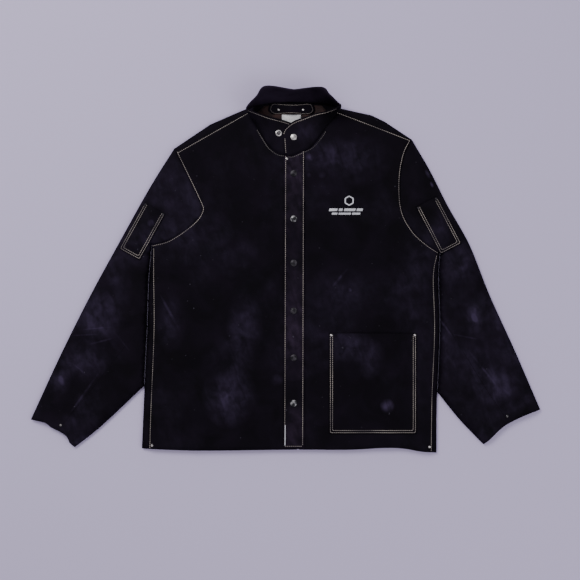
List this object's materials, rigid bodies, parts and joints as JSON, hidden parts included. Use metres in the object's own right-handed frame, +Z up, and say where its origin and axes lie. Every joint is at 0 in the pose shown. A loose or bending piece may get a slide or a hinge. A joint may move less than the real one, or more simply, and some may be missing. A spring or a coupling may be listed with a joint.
{
  "type": "leather welding jacket",
  "caption": "Long-sleeved leather work jacket laid flat and snapped shut, with a stand collar, a snap placket, a hip patch pocket and a pen pocket on each sleeve.",
  "frame": {"origin": "centre of the jacket's footprint, on the surface that it lies on", "axes": "+X towards the end of the wearer's left sleeve, +Y towards the collar, +Z up out of the jacket's front"},
  "size_m": [1.124, 0.8119, 0.0732],
  "materials": {
    "hide": "near-black split cowhide with a violet cast, napped, dusty and scuffed",
    "lining": "brown twill lining",
    "label": "blank white woven label",
    "black_snap": "black-coated press snap, worn bright at the rim",
    "nickel": "worn nickel plate",
    "badge_thread": "pale grey satin-stitched thread"
  },
  "bodies": {
    "torso": {"back_panel": "hide", "left_front_panel": "hide", "right_front_panel": "hide", "standing_collar": "hide", "neck_lining": "lining", "neck_label": "label", "hanger_loop": "hide", "hanger_rivet_1": "nickel", "hanger_rivet_2": "nickel", "hip_pocket": "hide", "hip_pocket_rivet_1": "nickel", "hip_pocket_rivet_2": "nickel", "chest_badge": "badge_thread", "left_hem_rivet": "nickel", "right_hem_rivet": "nickel", "left_upper_sleeve_top": "hide", "left_upper_sleeve_under": "hide", "left_pen_pocket": "hide", "left_pen_pocket_rivet_1": "nickel", "left_pen_pocket_rivet_2": "nickel", "right_upper_sleeve_top": "hide", "right_upper_sleeve_under": "hide", "right_pen_pocket": "hide", "right_pen_pocket_rivet_1": "nickel", "right_pen_pocket_rivet_2": "nickel"},
    "left_front": {"left_front_flap": "hide", "placket_strip": "hide", "left_collar_leaf": "hide", "neck_rivet": "nickel", "collar_snap_cap": "nickel", "placket_snap_cap_1": "black_snap", "placket_snap_cap_2": "black_snap", "placket_snap_cap_3": "black_snap", "placket_snap_cap_4": "black_snap", "placket_snap_cap_5": "black_snap", "placket_snap_cap_6": "black_snap"},
    "right_front": {"right_front_flap": "hide", "right_collar_leaf": "hide", "collar_snap_stud": "nickel", "spare_snap_stud": "nickel", "placket_snap_stud_1": "nickel", "placket_snap_stud_2": "nickel", "placket_snap_stud_3": "nickel", "placket_snap_stud_4": "nickel", "placket_snap_stud_5": "nickel", "placket_snap_stud_6": "nickel"},
    "left_forearm": {"left_lower_sleeve_top": "hide", "left_lower_sleeve_under": "hide", "left_cuff_rivet": "nickel"},
    "right_forearm": {"right_lower_sleeve_top": "hide", "right_lower_sleeve_under": "hide", "right_cuff_rivet": "nickel"}
  },
  "joints": [
    {"name": "left_front_open", "type": "hinge", "parent": "torso", "child": "left_front", "pos_m": [0.088, -0.399, 0.0194], "axis": [-0.0447, 0.999, 0], "range_deg": [0, 150]},
    {"name": "right_front_open", "type": "hinge", "parent": "torso", "child": "right_front", "pos_m": [-0.05, -0.399, 0.0176], "axis": [-0.0511, -0.9987, 0], "range_deg": [0, 60]},
    {"name": "left_sleeve_fold", "type": "hinge", "parent": "torso", "child": "left_forearm", "pos_m": [0.334, -0.271, 0.0158], "axis": [-0.2773, -0.9608, 0], "range_deg": [0, 150]},
    {"name": "right_sleeve_fold", "type": "hinge", "parent": "torso", "child": "right_forearm", "pos_m": [-0.311, -0.258, 0.0158], "axis": [-0.2669, 0.9637, 0], "range_deg": [0, 150]}
  ],
  "couplings": [
    {"joint": "right_front_open", "follows": "left_front_open", "ratio": 0.4}
  ]
}
